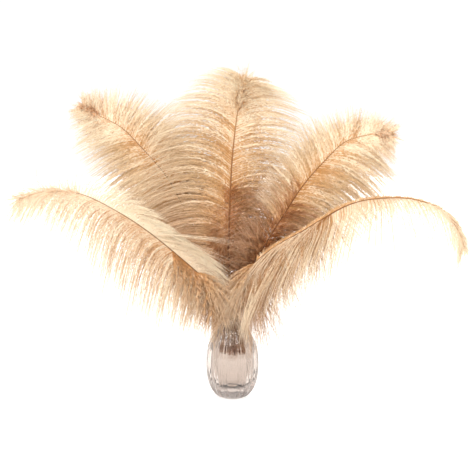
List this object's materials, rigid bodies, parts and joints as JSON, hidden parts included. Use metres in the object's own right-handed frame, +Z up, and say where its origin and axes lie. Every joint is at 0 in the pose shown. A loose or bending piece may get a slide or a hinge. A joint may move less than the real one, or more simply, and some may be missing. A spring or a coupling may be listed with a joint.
{
  "type": "ostrich feathers in a glass bud vase",
  "caption": "Fan of dyed ostrich plumes, upright at the back and arching over at the front, held in the neck of a small ribbed clear glass bud vase.",
  "frame": {"origin": "middle of the flat foot of the vase, on the surface that it stands on", "axes": "+Z up, +X along the width of the fan towards its right side, -Y towards the side that is looked at"},
  "size_m": [0.4865, 0.1619, 0.3651],
  "materials": {
    "feather": "soft dyed ostrich barbs, champagne to warm beige, matt with a faint silky sheen",
    "clear_glass": "clear pressed glass, smooth, with shallow upright flutes"
  },
  "bodies": {
    "root": {"glass_vase": "clear_glass", "feather_centre": "feather", "feather_back_left": "feather", "feather_back_right": "feather", "feather_front_left": "feather", "feather_front_right": "feather"}
  },
  "joints": []
}
